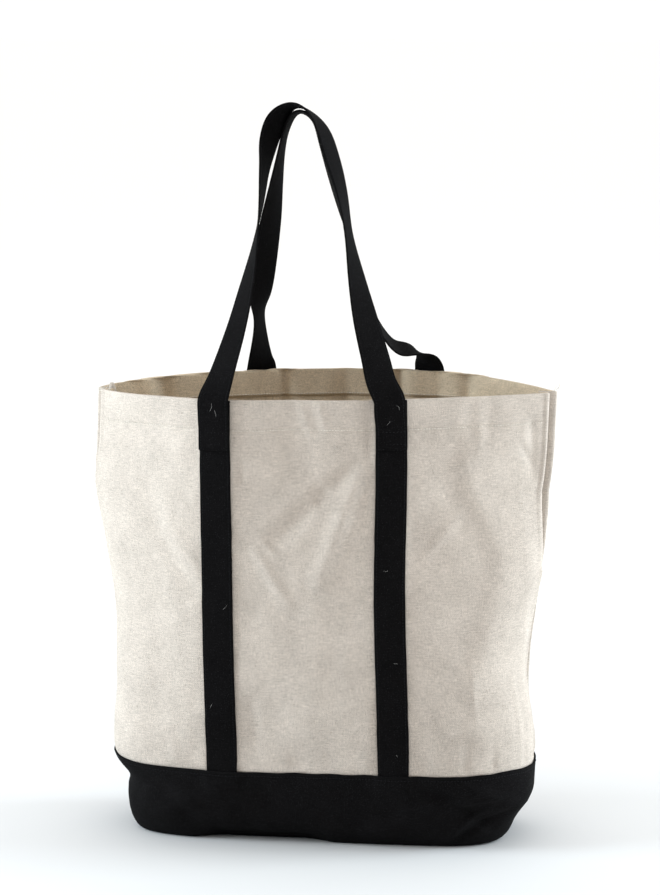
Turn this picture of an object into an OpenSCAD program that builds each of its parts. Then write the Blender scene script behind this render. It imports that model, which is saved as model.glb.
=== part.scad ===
// Canvas tote bag with a contrast base, sewn strap bands and two shoulder handles.
// The bag stands open on its base. The origin is on the floor under the middle of
// the base, +X runs to the bag's right-hand side seam and -Y faces the front.
// The back of the bag is the front turned half a turn about the vertical axis.

/* [Mouth and body] */
// Width of the mouth from side seam to side seam
mouth_w = 470; // [430:1:480]
// Depth of the open mouth at its widest place
mouth_d = 190; // [150:5:210]
// Height of the rim above the floor
rim_h = 457; // [420:1:480]
// Width of the body at its waist, above the base
waist_w = 422; // [400:2:440]
// Depth of the body where the base is joined on
seam_d = 176; // [150:2:190]
// Thickness of one layer of natural canvas
canvas_t = 1; // [0.8:0.1:1.2]
// Height of the turned-over hem
hem_h = 32; // [24:1:38]
// Width of the seam allowance folded in at each side
allowance_w = 10; // [8:1:12]

/* [Base] */
// Length of the flat bottom
base_w = 364; // [340:2:390]
// Depth of the flat bottom
base_d = 112; // [100:2:130]
// Height of the base band
base_h = 80; // [70:1:90]
// Thickness of the base canvas
base_t = 1.4; // [1.2:0.1:1.8]
// Height of the lap where the base covers the panels
lap_h = 8; // [6:1:10]

/* [Straps] */
// Width of the straps
strap_w = 30; // [25:1:32]
// Thickness of the folded and stitched straps
strap_t = 2.2; // [1.8:0.1:2.6]
// Place of the front left strap at the rim, from the middle
strap_left_x = -96; // [-100:1:-85]
// Place of the front right strap at the rim, from the middle
strap_right_x = 75; // [70:1:85]
// Sideways drift of the straps from the rim down to the base
strap_drift = 6; // [0:1:8]
// Depth below the rim of the fold line where a handle leaves its sewn end
fold_drop = 28; // [24:1:32]
// Length of the sewn end below the fold line
sewn_l = 22; // [18:1:26]

/* [Stitching] */
// Thickness of the thread
thread_t = 0.5; // [0.4:0.1:0.8]
// Distance from a strap's edge to its row of stitching
edge_inset = 2.5; // [2:0.5:4]

/* [Hidden] */

natural = "#e8e2d6";
black = "#19191b";
tape = "#efe9dc";

// Gaps between layers that lie on each other
layer_gap = 0.2;
seam_gap = 0.15;
thread_gap = 0.05;
// Gap under the thread where the straps twist
twist_gap = 0.3;
// Gap between the moving handle and the band that it lies on
handle_gap = 0.6;
// Gap between the moving handle and its sewn end, where the strap folds
fold_gap = 1;

// Steps of the lofts
across_steps = 36;
panel_levels = 18;
base_levels = 8;
band_across = 4;
band_levels = 20;
handle_steps = 4;
row_steps = 24;

// Shape of the horizontal sections: a lens at the rim, a rounded block at the base
mouth_skew = -0.32;
mouth_power = 2;
seam_power = 4;
seam_root = 0.42;
foot_power = 5;
foot_root = 0.26;
// How fast the base spreads above the floor, sideways and front to back
spread_w = 0.35;
spread_d = 0.6;
waist_z = 170;
flare_z = 390;
// Height above the base over which the straps drift
drift_h = 200;

// Binding tape that wraps the seam allowances
tape_t = 0.7;
tape_w = 7;

// Stitched rows
binding_top = rim_h - hem_h - 1;
hem_row_z = rim_h - hem_h + 2;
base_row_z = base_h - 3;
fold_z = rim_h - fold_drop;
tack_rows = [fold_z - 4, fold_z - 16];

// Depth of each layer on the outside of the panels
band_in = layer_gap;
band_out = band_in + strap_t;
sewn_in = band_out + layer_gap;
sewn_out = sewn_in + strap_t;
handle_mid = band_out + handle_gap + strap_t / 2;

// --- helpers -------------------------------------------------------------

function smooth(t) = let (u = max(0, min(1, t))) u * u * (3 - 2 * u);
function unit(v) = v / norm(v);
function steps(n) = [for (i = [0 : n]) i / n];

// Skins a list of closed rings that have equal point counts. The ends are closed by
// the faces in ends, which hold places in one ring, or by the whole ring.
module loft(rings, ends = undef) {
    n = len(rings[0]);
    last = len(rings) - 1;
    points = [for (ring = rings) each ring];
    sides = [
        for (j = [0 : last - 1], i = [0 : n - 1])
            let (k = (i + 1) % n, a = j * n, b = (j + 1) * n)
                each [[a + i, b + i, b + k], [a + i, b + k, a + k]]
    ];
    near = is_undef(ends) ? [[for (i = [0 : n - 1]) i]] : ends;
    far = [for (f = near) [for (i = [len(f) - 1 : -1 : 0]) last * n + f[i]]];
    polyhedron(points, concat(sides, near, far));
}

// Sweeps a small square thread along points, lifted off the surface along normals
module thread(path, lifts, gap = thread_gap) {
    last = len(path) - 1;
    half = thread_t / 2;
    loft([
        for (i = [0 : last])
            let (along = unit(path[min(i + 1, last)] - path[max(i - 1, 0)]),
                 up = unit(lifts[i] - (lifts[i] * along) * along),
                 side = cross(along, up),
                 foot = path[i] + up * gap)
                [foot + side * half, foot - side * half,
                 foot - side * half + up * thread_t, foot + side * half + up * thread_t]
    ]);
}

// --- surface of the bag --------------------------------------------------

function open_share(z) = smooth((z - base_h) / (rim_h - base_h) * 1.15);
function spread(z, p) = pow(z / base_h, p);
function half_w(z) = z < base_h
    ? (base_w + (waist_w - base_w) * spread(z, spread_w)) / 2
    : (waist_w + (mouth_w - waist_w) * smooth((z - waist_z) / (flare_z - waist_z))) / 2;
function half_d(z) = z < base_h
    ? (base_d + (seam_d - base_d) * spread(z, spread_d)) / 2
    : (seam_d + (mouth_d - seam_d) * smooth((z - base_h) / (rim_h - base_h))) / 2;
function power(z) = z < base_h
    ? foot_power + (seam_power - foot_power) * z / base_h
    : seam_power + (mouth_power - seam_power) * open_share(z);
function root(z) = z < base_h
    ? foot_root + (seam_root - foot_root) * z / base_h
    : seam_root + (1 - seam_root) * open_share(z);

// Depth of the front half at share s of the half width, from 0 to 1
function fullness(s, z) =
    let (k = mouth_skew * open_share(z), u = s < k ? (k - s) / (1 + k) : (s - k) / (1 - k))
        pow(max(0, 1 - pow(min(u, 1), power(z))), root(z));

// Point and outward direction of the front half at share s and height z
function front_point(s, z) = [half_w(z) * s, -seam_gap - half_d(z) * fullness(s, z), z];
function front_normal(s, z) =
    let (e = 0.004, a = front_point(max(s - e, -1), z), b = front_point(min(s + e, 1), z))
        unit([b[1] - a[1], a[0] - b[0], 0]);
function front_offset(s, z, d) = front_point(s, z) + d * front_normal(s, z);
function share_at(x, z) = x / half_w(z);
function turned(p) = [-p[0], -p[1], p[2]];

function section_shares(n) = [for (i = [0 : n]) sin(-90 + 180 * i / n)];

// Ring of one panel with its two folded seam allowances, at height z
function panel_ring(z, t) =
    let (a = half_w(z), y_in = -seam_gap - canvas_t, room = a - t * 2.2,
         slim = (half_d(z) - t) / half_d(z),
         outer = [for (s = section_shares(across_steps)) front_point(s, z)],
         inner = [for (s = section_shares(across_steps))
             [room * s, min(slim * front_point(s, z)[1], y_in - 0.02), z]])
        concat(outer,
            [[a - allowance_w, -seam_gap, z], [a - allowance_w, y_in, z], [room, y_in, z]],
            [for (i = [across_steps - 1 : -1 : 1]) inner[i]],
            [[-room, y_in, z], [allowance_w - a, y_in, z], [allowance_w - a, -seam_gap, z]]);

// End faces of a panel ring: pairs of outer and inner points, and the two allowances
function panel_ends() =
    let (n = across_steps, far = 2 * n + 3)
        concat([for (i = [0 : n - 1]) [i, i + 1, far - i - 1, far - i]],
            [[n, n + 1, n + 2, n + 3], [0, far, far + 1, far + 2]]);

module half_bag_panel() {
    hem_low = rim_h - hem_h;
    heights = concat([base_h - lap_h],
        [for (t = steps(panel_levels)) base_h + (hem_low - base_h) * t]);
    lower = [for (z = heights) panel_ring(z, canvas_t)];
    upper = [for (t = steps(3)) panel_ring(hem_low + 0.3 + (hem_h - 0.3) * t, canvas_t * 2)];
    loft(concat(lower, upper), panel_ends());
}

module front_panel() {
    color(natural) half_bag_panel();
}

module back_panel() {
    color(natural) rotate([0, 0, 180]) half_bag_panel();
}

// Whole ring around the bag at height z, d outside the panels
function bag_ring(z, d, at_z) =
    let (half = [for (s = section_shares(across_steps)) front_offset(s, z, d)])
        [for (side = [0, 1], i = [0 : across_steps - 1])
            let (p = side == 0 ? half[i] : turned(half[i])) [p[0], p[1], at_z]];

module base_panel() {
    skin = layer_gap + base_t;
    outer = [for (t = steps(base_levels)) bag_ring(base_h * t * t, skin, base_h * t * t)];
    inner = [for (t = steps(base_levels))
        let (z = base_t + (base_h - base_t) * (1 - t) * (1 - t)) bag_ring(z, layer_gap, z)];
    color(black) loft(concat(outer, [bag_ring(base_h, layer_gap, base_h)],
        [for (i = [1 : base_levels]) inner[i]]));
}

// --- strap bands sewn to the body ----------------------------------------

function strap_x(x, z) = x + strap_drift * (1 - smooth((z - base_h) / drift_h));

// Flat ring of a strap that lies on the panel, between depths d0 and d1
function strap_ring(x, z, d0, d1) =
    let (edges = [for (t = steps(band_across)) strap_x(x, z) + strap_w * (t - 0.5)])
        concat([for (e = edges) front_offset(share_at(e, z), z, d1)],
            [for (i = [band_across : -1 : 0]) front_offset(share_at(edges[i], z), z, d0)]);

module strap_piece(x, z0, z1, d0, d1, levels) {
    loft([for (t = steps(levels)) strap_ring(x, z0 + (z1 - z0) * t, d0, d1)]);
}

module band(x) {
    color(black) strap_piece(x, base_h + layer_gap, rim_h, band_in, band_out, band_levels);
}

module front_left_band() {
    band(strap_left_x);
}

module front_right_band() {
    band(strap_right_x);
}

module back_left_band() {
    rotate([0, 0, 180]) band(strap_right_x);
}

module back_right_band() {
    rotate([0, 0, 180]) band(strap_left_x);
}

module sewn_ends() {
    for (x = [strap_left_x, strap_right_x])
        color(black)
            strap_piece(x, fold_z - sewn_l, fold_z - fold_gap, sewn_in, sewn_out, 3);
}

module front_handle_sewn_ends() {
    sewn_ends();
}

module back_handle_sewn_ends() {
    rotate([0, 0, 180]) sewn_ends();
}

// --- handles -------------------------------------------------------------

// Where a handle's middle line leaves its fold line
function leave(x, z) = front_offset(share_at(strap_x(x, z), z), z, handle_mid);
function lean(x, z) = let (n = front_normal(share_at(strap_x(x, z), z), z)) atan2(n[0], -n[1]);
function stub(x, z, half_turn) =
    let (p = leave(x, z)) [p[0], p[1], p[2], lean(x, z) + half_turn];
function back_stub(x, z, half_turn) =
    let (p = turned(leave(x, z))) [p[0], p[1], p[2], lean(x, z) + half_turn];

// Route of each handle: x, y and height above the rim, and the way its width points
front_free = [
    [-90, -93, 24, -31], [-78, -77, 68, -46], [-70, -61, 108, -58], [-64, -46, 147, -74],
    [-60, -32, 186, -88], [-58, -20, 222, -94], [-54, -12, 251, -104],
    [-45, -8, 275, -105], [-30, -6, 287, -90], [-14, -6, 281, -80],
    [2, -8, 262, -70], [10, -13, 233, -66], [19, -21, 200, -70], [29, -35, 153, -88],
    [38, -46, 114, -114], [48, -57, 75, -134], [59, -67, 38, -147], [65, -73, 17, -155]
];
back_free = [
    [-77, 71, 14, 40], [-77, 66, 38, 68], [-76, 59, 66, 78], [-74, 54, 88, 62],
    [-70, 48, 115, 49], [-61, 37, 162, 60], [-54, 27, 200, 73], [-48, 18, 232, 85],
    [-42, 12, 256, 90], [-33, 9, 273, 92], [-23, 9, 278, 94], [-12, 10, 266, 97],
    [-6, 12, 243, 100], [3, 22, 209, 104], [12, 34, 176, 106], [20, 47, 146, 110],
    [31, 62, 101, 118], [44, 72, 62, 124], [62, 80, 38, 118], [81, 86, 27, 106],
    [95, 91, 16, 138]
];
function on_rim(route) = [for (p = route) [p[0], p[1], p[2] + rim_h, p[3]]];
front_route = concat(
    [stub(strap_left_x, fold_z, 0), stub(strap_left_x, rim_h, 0)],
    on_rim(front_free),
    [stub(strap_right_x, rim_h, -180), stub(strap_right_x, fold_z, -180)]);
back_route = concat(
    [back_stub(strap_right_x, fold_z, 0), back_stub(strap_right_x, rim_h, 0)],
    on_rim(back_free),
    [back_stub(strap_left_x, rim_h, 180), back_stub(strap_left_x, fold_z, 180)]);

// Smooth curve through a route
function curve_at(r, i, t) =
    let (n = len(r) - 1, a = r[max(i - 1, 0)], b = r[i], c = r[i + 1], d = r[min(i + 2, n)])
        0.5 * (2 * b + (c - a) * t + (2 * a - 5 * b + 4 * c - d) * t * t
            + (3 * b - a - 3 * c + d) * t * t * t);
function curve(r) = concat(
    [for (i = [0 : len(r) - 2], k = [0 : handle_steps - 1]) curve_at(r, i, k / handle_steps)],
    [r[len(r) - 1]]);

// Place, width direction and inward direction at each step of a curve
function frames(c) = [
    for (i = [0 : len(c) - 1])
        let (last = len(c) - 1, a = c[max(i - 1, 0)], b = c[min(i + 1, last)],
             along = unit([b[0] - a[0], b[1] - a[1], b[2] - a[2]]),
             flat = [cos(c[i][3]), sin(c[i][3]), 0],
             wide = unit(flat - (flat * along) * along))
            [[c[i][0], c[i][1], c[i][2]], wide, cross(along, wide)]
];

module handle(route) {
    half = strap_w / 2;
    thick = strap_t / 2;
    soft = 0.6;
    color(black)
        loft([
            for (f = frames(curve(route)))
                [for (q = [[-half, soft - thick], [-half + soft, -thick], [half - soft, -thick],
                           [half, soft - thick], [half, thick - soft], [half - soft, thick],
                           [soft - half, thick], [-half, thick - soft]])
                    f[0] + q[0] * f[1] + q[1] * f[2]]
        ]);
}

module handle_rows(route, out) {
    inset = strap_w / 2 - edge_inset;
    path = frames(curve(route));
    for (side = [-1, 1])
        color(black)
            thread([for (f = path) f[0] + side * inset * f[1] + out * strap_t / 2 * f[2]],
                [for (f = path) out * f[2]], twist_gap);
}

module front_handle() {
    handle(front_route);
}

module back_handle() {
    handle(back_route);
}

module front_handle_stitching() {
    handle_rows(front_route, -1);
}

module back_handle_stitching() {
    handle_rows(back_route, 1);
}

// --- inside bindings -----------------------------------------------------

// Tape folded over the raw edges of the two seam allowances, up to the hem
module side_binding() {
    loft([
        for (t = steps(band_levels))
            let (z = base_h + (binding_top - base_h) * t, edge = half_w(z) - allowance_w,
                 slot = seam_gap + canvas_t + thread_gap, skin = slot + tape_t,
                 open = edge + tape_w - tape_t - 2, back = edge - layer_gap)
                [[back - tape_t, -skin, z], [open, -skin, z], [open, -slot, z],
                 [back, -slot, z], [back, slot, z], [open, slot, z], [open, skin, z],
                 [back - tape_t, skin, z]]
    ]);
}

module right_side_binding() {
    color(tape) side_binding();
}

module left_side_binding() {
    color(tape) rotate([0, 0, 180]) side_binding();
}

// --- stitching -----------------------------------------------------------

module surface_row(x0, x1, z, d) {
    shares = [for (t = steps(row_steps)) share_at(x0 + (x1 - x0) * t, z)];
    thread([for (s = shares) front_offset(s, z, d)], [for (s = shares) front_normal(s, z)]);
}

module upright_row(x, z0, z1, d) {
    heights = [for (t = steps(band_levels)) z0 + (z1 - z0) * t];
    thread([for (z = heights) front_offset(share_at(strap_x(x, z), z), z, d)],
        [for (z = heights) front_normal(share_at(strap_x(x, z), z), z)]);
}

module hem_rows() {
    clear = strap_w / 2 + 1;
    left = strap_x(strap_left_x, hem_row_z);
    right = strap_x(strap_right_x, hem_row_z);
    end = half_w(hem_row_z) - 3;
    for (span = [[-end, left - clear], [left + clear, right - clear], [right + clear, end]])
        color(tape) surface_row(span[0], span[1], hem_row_z, 0);
}

module front_hem_stitching() {
    hem_rows();
}

module back_hem_stitching() {
    rotate([0, 0, 180]) hem_rows();
}

module base_seam_stitching() {
    shares = [for (i = [1 : across_steps - 1]) sin(-90 + 180 * i / across_steps)];
    for (turn = [0, 180])
        color(black) rotate([0, 0, turn])
            thread([for (s = shares) front_offset(s, base_row_z, layer_gap + base_t)],
                [for (s = shares) front_normal(s, base_row_z)], twist_gap);
}

module side_rows() {
    skin = seam_gap + canvas_t + thread_gap + tape_t;
    heights = [for (t = steps(band_levels)) base_h + 4 + (binding_top - base_h - 7) * t];
    for (side = [-1, 1])
        color(tape)
            thread([for (z = heights) [half_w(z) - allowance_w + 2.5, side * skin, z]],
                [for (z = heights) [0, side, 0]]);
}

module right_side_stitching() {
    side_rows();
}

module left_side_stitching() {
    rotate([0, 0, 180]) side_rows();
}

module base_corner_stitching() {
    reach = base_d / 2 - 14;
    for (side = [-1, 1])
        color(black)
            thread([for (t = steps(6)) [side * (base_w / 2 - 8), reach * (2 * t - 1), base_t]],
                [for (t = steps(6)) [0, 0, 1]]);
}

module band_rows() {
    inset = strap_w / 2 - edge_inset;
    for (x = [strap_left_x, strap_right_x], side = [-1, 1])
        color(black)
            upright_row(x + side * inset, base_h + 1, fold_z - sewn_l - 1, band_out);
}

module front_band_stitching() {
    band_rows();
}

module back_band_stitching() {
    rotate([0, 0, 180]) band_rows();
}

module tack_pairs() {
    half = strap_w / 2 - 1.5;
    for (x = [strap_left_x, strap_right_x], z = tack_rows)
        color(black) surface_row(strap_x(x, z) - half, strap_x(x, z) + half, z, sewn_out);
}

module front_tack_stitching() {
    tack_pairs();
}

module back_tack_stitching() {
    rotate([0, 0, 180]) tack_pairs();
}

front_panel();
back_panel();
base_panel();
front_left_band();
front_right_band();
back_left_band();
back_right_band();
front_handle();
back_handle();
front_handle_sewn_ends();
back_handle_sewn_ends();
left_side_binding();
right_side_binding();
front_hem_stitching();
back_hem_stitching();
base_seam_stitching();
left_side_stitching();
right_side_stitching();
base_corner_stitching();
front_band_stitching();
back_band_stitching();
front_handle_stitching();
back_handle_stitching();
front_tack_stitching();
back_tack_stitching();
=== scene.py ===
"""Looks of the canvas tote bag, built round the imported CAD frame. Lengths in the geometry
functions are millimetres, as in the CAD source, and become metres when a mesh is made."""

import math

import bpy
import numpy as np
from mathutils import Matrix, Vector


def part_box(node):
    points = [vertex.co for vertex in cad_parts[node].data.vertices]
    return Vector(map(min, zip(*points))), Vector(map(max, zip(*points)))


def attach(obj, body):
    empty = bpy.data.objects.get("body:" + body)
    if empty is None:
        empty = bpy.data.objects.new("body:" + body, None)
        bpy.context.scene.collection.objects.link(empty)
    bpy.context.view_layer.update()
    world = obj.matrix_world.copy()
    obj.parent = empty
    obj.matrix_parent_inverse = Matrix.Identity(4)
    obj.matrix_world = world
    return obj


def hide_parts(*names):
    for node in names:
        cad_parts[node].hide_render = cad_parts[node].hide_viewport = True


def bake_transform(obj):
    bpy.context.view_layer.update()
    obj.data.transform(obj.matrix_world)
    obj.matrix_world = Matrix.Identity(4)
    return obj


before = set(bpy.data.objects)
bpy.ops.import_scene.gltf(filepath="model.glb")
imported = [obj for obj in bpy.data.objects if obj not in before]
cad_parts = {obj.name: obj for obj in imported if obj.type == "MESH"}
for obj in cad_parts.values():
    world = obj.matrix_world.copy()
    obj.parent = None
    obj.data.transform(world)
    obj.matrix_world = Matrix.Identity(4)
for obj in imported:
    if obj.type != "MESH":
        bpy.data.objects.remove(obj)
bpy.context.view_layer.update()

MM = 0.001

# --- sizes that the frame gives ---

RIM_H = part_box("front_panel")[1].z / MM
MOUTH_W = 2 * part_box("front_panel")[1].x / MM
BASE_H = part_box("base_panel")[1].z / MM

# --- sizes repeated from the CAD source ---

MOUTH_D, SEAM_D, BASE_D = 190, 176, 112
WAIST_W, BASE_W = 422, 364
HEM_H, LAP_H, ALLOWANCE_W = 32, 8, 10
MOUTH_SKEW, MOUTH_POWER = -0.32, 2
SEAM_POWER, SEAM_ROOT = 4, 0.42
FOOT_POWER, FOOT_ROOT = 5, 0.26
SPREAD_D = 0.6
WAIST_Z, FLARE_Z = 170, 390
STRAP_LEFT_X, STRAP_RIGHT_X = -96, 75
DRIFT_H = 200
FOLD_DROP, SEWN_L = 28, 22
FOLD_Z = RIM_H - FOLD_DROP
TACK_ROWS = (FOLD_Z - 4, FOLD_Z - 16)

# --- sizes of the looks alone, where the photo differs from the plain CAD ---

BACK_HEM_H = 22
SPREAD_W = 0.2
SIDE_SWELL, SWELL_Z, SWELL_H = 6, 98, 38
STRAP_W = 31.5
LEFT_DRIFT, RIGHT_DRIFT = 3, 5
CORNER_SAG, BACK_RISE = 4.5, 8
# How far the bag steps in below the left end of its base seam, and how high
STEP_IN, STEP_Z, STEP_H = 8, 56, 12
# How far the middle of the bag stands to the right of the CAD's, as (z, shift) points
LEAN = ((0, 0), (40, 5), (62, 2), (84, -2), (110, -1), (168, -4), (250, -1.5), (300, -2), (357, -5),
        (400, -2), (RIM_H, 0))

# --- thicknesses of the cloth as it shows ---

CANVAS_T = 0.8
SEAM_GAP = 0.15
HEM_DEPTH = 1.9
STRAP_T = 1.8
BAND_FOOT = 0.6
BAND_MID = BAND_FOOT + STRAP_T / 2
SEWN_MID = BAND_FOOT + STRAP_T + 0.15 + STRAP_T / 2
HANDLE_MID = 4.4
BASE_SKIN, BASE_LINING = 2.2, 0.4
STITCH_INSET, STITCH_PITCH = 2.6, 3.3
BASE_ROW_DROP = 4.5


# --- helpers ---


def smooth(t):
    t = np.clip(t, 0, 1)
    return t * t * (3 - 2 * t)


def bump(distance, width):
    """A soft bump: 1 at distance 0, fading out over about width."""
    return np.exp(-((distance / width) ** 2))


def between(value, low, high, soft):
    """1 between low and high, fading to 0 over soft outside them."""
    return smooth((value - low) / soft + 1) * smooth((high - value) / soft + 1)


def noise(seed, a, b, cell):
    """Smooth repeatable noise from -1 to 1 over the plane of a and b."""
    size = 64
    lattice = np.random.default_rng(seed).uniform(-1, 1, (size, size))
    p, q = np.asarray(a, float) / cell, np.asarray(b, float) / cell
    i, j = np.floor(p).astype(int), np.floor(q).astype(int)
    u, v = smooth(p - i), smooth(q - j)
    corner = [[lattice[(i + m) % size, (j + n) % size] for n in (0, 1)] for m in (0, 1)]
    low = corner[0][0] * (1 - v) + corner[0][1] * v
    high = corner[1][0] * (1 - v) + corner[1][1] * v
    return low * (1 - u) + high * u


def layers(seed, a, b, pairs):
    """Noise in several layers, from (height, cell) pairs."""
    return sum(height * noise(seed + k, a, b, cell) for k, (height, cell) in enumerate(pairs))


def unit(v):
    return v / np.maximum(np.linalg.norm(v, axis=-1, keepdims=True), 1e-9)


def arc(points):
    """Distance along a line of points, from its start."""
    return np.concatenate([[0], np.cumsum(np.linalg.norm(np.diff(points, axis=0), axis=1))])


def sample(s, values, where):
    """Rows of values that are known at distances s, read off at the distances where."""
    return np.stack([np.interp(where, s, column) for column in values.T], 1)


def resample(points, fractions):
    """Points at these fractions of the length of a line."""
    s = arc(points)
    return sample(s, points, np.asarray(fractions) * s[-1])


def to_right(line):
    """Level unit vectors to the right of a line of points, as it runs."""
    along = np.gradient(line, axis=0)
    return unit(np.stack([along[:, 1], -along[:, 0], np.zeros(len(line))], 1))


def turned(points):
    return points * [-1, -1, 1]


# --- shape of the bag ---


def open_share(z):
    return smooth((z - BASE_H) / (RIM_H - BASE_H) * 1.15)


def foot_share(z):
    return np.clip(z / BASE_H, 0, 1)


def staged(z, foot, seam, mouth, foot_part, body_part):
    """Goes from foot to seam up the base and from seam to mouth up the body."""
    return np.where(z < BASE_H, foot + (seam - foot) * foot_part, seam + (mouth - seam) * body_part)


def half_w(z):
    flare = smooth((z - WAIST_Z) / (FLARE_Z - WAIST_Z))
    width = staged(z, BASE_W, WAIST_W, MOUTH_W, foot_share(z) ** SPREAD_W, flare)
    return width / 2 + SIDE_SWELL * bump(z - SWELL_Z, SWELL_H)


def half_d(z):
    opening = smooth((z - BASE_H) / (RIM_H - BASE_H))
    return staged(z, BASE_D, SEAM_D, MOUTH_D, foot_share(z) ** SPREAD_D, opening) / 2


def section_power(z):
    return staged(z, FOOT_POWER, SEAM_POWER, MOUTH_POWER, foot_share(z), open_share(z))


def section_root(z):
    return staged(z, FOOT_ROOT, SEAM_ROOT, 1, foot_share(z), open_share(z))


def fullness(s, z):
    """Depth of the front half at share s of the half width, from 0 to 1."""
    k = MOUTH_SKEW * open_share(z)
    u = np.where(s < k, (k - s) / (1 + k), (s - k) / (1 - k))
    return np.maximum(0, 1 - np.minimum(u, 1) ** section_power(z)) ** section_root(z)


def shell(s, z):
    """Point of the front half at share s and height z."""
    s, z = np.broadcast_arrays(np.asarray(s, float), np.asarray(z, float))
    return np.stack([half_w(z) * s, -SEAM_GAP - half_d(z) * fullness(s, z), z], -1)


def outward(s, z):
    e = 0.004
    a, b = shell(np.maximum(s - e, -1), z), shell(np.minimum(s + e, 1), z)
    d = b - a
    return unit(np.stack([d[..., 1], -d[..., 0], np.zeros_like(d[..., 0])], -1))


def strap_x(x, z):
    """Where the middle of a strap is at height z: its foot stands a little further right."""
    drift = LEFT_DRIFT if x < 0 else RIGHT_DRIFT
    return x + drift * (1 - smooth((z - BASE_H) / DRIFT_H))


# --- folds of the cloth ---


def crease(x, z, x1, z1, x2, z2, width, height):
    """A fold line from (x1, z1) to (x2, z2): a ridge, or a valley if height is negative."""
    dx, dz = x2 - x1, z2 - z1
    t = ((x - x1) * dx + (z - z1) * dz) / (dx * dx + dz * dz)
    across = np.abs((x - x1) * dz - (z - z1) * dx) / math.hypot(dx, dz)
    along = np.sqrt(np.maximum(0, 1 - np.clip(2 * t - 1, -1.35, 1.35) ** 2 / 1.35**2))
    return height * bump(across, width) * along


# Each fold: x and z of its start, x and z of its end, its width and its height
FRONT_CREASES = (
    # left of the left strap
    (-171, 367, -160, 320, 11, -2), (-160, 320, -122, 264, 11, -2.8),
    (-150, 330, -116, 282, 10, 1.6), (-110, 442, -112, 400, 8, -2),
    (-185, 200, -130, 190, 20, -1.2),
    # between the straps
    (-20, 490, -16, 380, 26, -7), (-12, 453, -3, 424, 4, 2.2), (6, 451, 13, 426, 4, 2),
    (54, 456, 56, 398, 6, -3.2), (-76, 397, -74, 376, 5, -2), (44, 392, 6, 360, 10, -4.6),
    (6, 360, -36, 318, 11, -5.4), (46, 388, 27, 338, 9, 4.6), (27, 338, 7, 276, 10, 4.2),
    (-56, 302, -27, 256, 6, 2.4), (-80, 366, -28, 362, 3, -0.6), (-48, 222, 60, 219, 4, -0.9),
    (-60, 190, 60, 120, 40, 3.4), (-62, 150, -58, 92, 6, -1.8),
    # right of the right strap
    (151, 453, 154, 404, 6, -1), (169, 453, 167, 402, 6, -0.9), (192, 440, 188, 398, 9, 1),
    (212, 426, 217, 376, 5, -3.6), (203, 404, 214, 384, 4, -2.2),
    (206, 430, 204, 396, 6, 0.8), (111, 301, 142, 340, 5, 1.1),
    (157, 195, 161, 136, 2.4, 0.8), (197, 170, 204, 113, 2.4, 0.8),
    (96, 330, 140, 250, 22, -1.6), (-140, 118, -132, 90, 7, -1.5),
    (150, 118, 160, 92, 8, -1.8),
)
BACK_CREASES = (
    (-150, 350, -90, 290, 9, -2.4), (-110, 300, -60, 240, 10, 1.8),
    (30, 380, 10, 300, 9, 2.2), (80, 330, 20, 250, 10, -2.2), (150, 300, 110, 230, 9, -1.9),
    (-150, 420, -156, 380, 8, -2.4), (-30, 140, -26, 92, 6, -1.5),
    (128, 124, 120, 90, 7, -1.5), (174, 490, 168, 380, 8, 6), (189, 490, 184, 390, 7, -4.5),
    (56, 490, 50, 390, 9, 6.5), (86, 490, 88, 400, 8, -5), (67, 490, 66, 400, 6, -3),
    (-64, 490, -68, 390, 7, 6), (-82, 490, -86, 400, 8, -5), (-109, 490, -106, 395, 6, 5.5),
    (-136, 490, -140, 390, 7, 5.5), (120, 490, 128, 400, 10, 4), (-12, 490, -6, 400, 12, 4.5),
)
# Long upright bends of the cloth: points (x, z) from the bottom up, widths to the left and
# the right, and height
FRONT_BENDS = (
    (((-100, 110), (-102, 250), (-98, 430)), (26, 26), 2.6),
    (((-160, 110), (-168, 250), (-176, 420)), (30, 30), -5.0),
    (((150, 100), (164, 175), (182, 250), (186, 300), (160, 362), (152, 390), (160, 408)),
     (17, 48), 5.5),
)
BACK_BENDS = (
    (((-150, 110), (-160, 250), (-165, 420)), (22, 22), 3.0),
    (((140, 110), (150, 250), (150, 420)), (22, 22), 2.0),
)


def bend(x, z, line, widths, height):
    """A bend that follows a line up the cloth and fades out at its ends."""
    at_x, at_z = np.array(line, float).T
    ends = between(z, at_z[0], at_z[-1], 35)
    off = x - np.interp(z, at_z, at_x)
    return height * bump(off, np.where(off < 0, *widths)) * ends


def strap_cover(x, z):
    """1 on the cloth under the sewn straps, which hold it flat."""
    near = [between(x, strap_x(c, z) - 15, strap_x(c, z) + 15, 7)
            for c in (STRAP_LEFT_X, STRAP_RIGHT_X)]
    return np.maximum(near[0], near[1])


def puckers(x, y, z, seed):
    """Small upright gathers above the base seam."""
    a = x + 0.8 * y
    wave = noise(seed, a, np.zeros_like(a), 9) + 0.6 * noise(seed + 1, a, z, 22)
    free = smooth((z - BASE_H - 1) / 9)
    return 2.2 * free * wave * np.exp(-np.maximum(z - BASE_H, 0) / 16)


# Unevenness of the panels, in layers of (height, cell)
PANEL_BROAD, PANEL_FINE = ((2.2, 95), (1.1, 46)), ((0.42, 19), (0.16, 8))


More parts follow.
